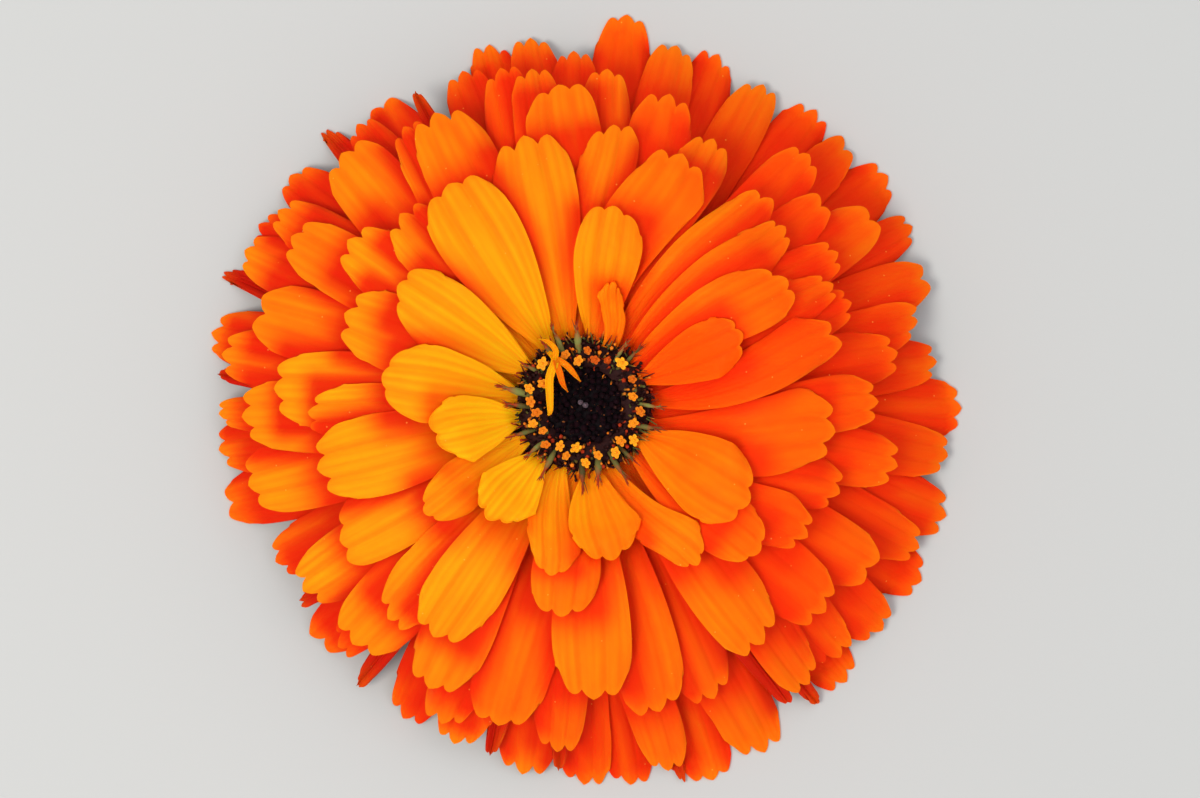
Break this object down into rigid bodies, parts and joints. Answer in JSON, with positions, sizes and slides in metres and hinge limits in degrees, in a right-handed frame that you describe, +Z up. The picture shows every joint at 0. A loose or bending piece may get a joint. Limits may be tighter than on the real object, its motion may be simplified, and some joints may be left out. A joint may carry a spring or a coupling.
{
  "type": "double marigold flower head",
  "caption": "Picked double-flowered garden marigold head lying face up: whorls of toothed orange ray florets round a dark disc, with green bracts and a short stem stub below.",
  "frame": {"origin": "on the surface that the head lies on, under the middle of its outline", "axes": "+Z up out of the face of the flower; +X and +Y across it"},
  "size_m": [0.0752, 0.077, 0.0197],
  "materials": {
    "outer_floret": "satin",
    "middle_floret": "satin",
    "inner_floret": "satin",
    "bract": "matte",
    "stem": "matte",
    "receptacle": "matte",
    "closed_disc": "matte",
    "open_disc": "matte",
    "curled_floret": "satin"
  },
  "bodies": {
    "root": {"closed_disc_florets": "closed_disc", "curled_disc_floret": "curled_floret", "inner_bracts": "bract", "inner_ray_floret_01": "inner_floret", "inner_ray_floret_02": "inner_floret", "inner_ray_floret_03": "inner_floret", "inner_ray_floret_04": "inner_floret", "inner_ray_floret_05": "inner_floret", "inner_ray_floret_06": "inner_floret", "inner_ray_floret_07": "inner_floret", "inner_ray_floret_08": "inner_floret", "inner_ray_floret_09": "inner_floret", "inner_ray_floret_10": "inner_floret", "inner_ray_floret_11": "inner_floret", "inner_ray_floret_12": "inner_floret", "inner_ray_floret_13": "inner_floret", "inner_ray_floret_14": "inner_floret", "inner_ray_floret_15": "inner_floret", "open_disc_florets": "open_disc", "outer_bracts": "bract", "outer_ray_florets_01": "outer_floret", "outer_ray_florets_02": "outer_floret", "outer_ray_florets_03": "outer_floret", "outer_ray_florets_04": "outer_floret", "outer_ray_florets_05": "outer_floret", "outer_ray_florets_06": "outer_floret", "outer_ray_florets_07": "outer_floret", "outer_ray_florets_08": "outer_floret", "outer_ray_florets_09": "outer_floret", "outer_ray_florets_10": "outer_floret", "outer_ray_florets_11": "outer_floret", "outer_ray_florets_12": "outer_floret", "outer_ray_florets_13": "outer_floret", "outer_ray_florets_14": "outer_floret", "receptacle": "receptacle", "second_ray_florets_01": "middle_floret", "second_ray_florets_02": "middle_floret", "second_ray_florets_03": "middle_floret", "second_ray_florets_04": "middle_floret", "second_ray_florets_05": "middle_floret", "second_ray_florets_06": "middle_floret", "second_ray_florets_07": "middle_floret", "second_ray_florets_08": "middle_floret", "second_ray_florets_09": "middle_floret", "second_ray_florets_10": "middle_floret", "second_ray_florets_11": "middle_floret", "second_ray_florets_12": "middle_floret", "stem_stub": "stem", "third_ray_florets_01": "middle_floret", "third_ray_florets_02": "middle_floret", "third_ray_florets_03": "middle_floret", "third_ray_florets_04": "middle_floret", "third_ray_florets_05": "middle_floret", "third_ray_florets_06": "middle_floret", "third_ray_florets_07": "middle_floret", "third_ray_florets_08": "middle_floret", "third_ray_florets_09": "middle_floret", "third_ray_florets_10": "middle_floret", "third_ray_florets_11": "middle_floret", "third_ray_florets_12": "middle_floret"}
  },
  "joints": []
}
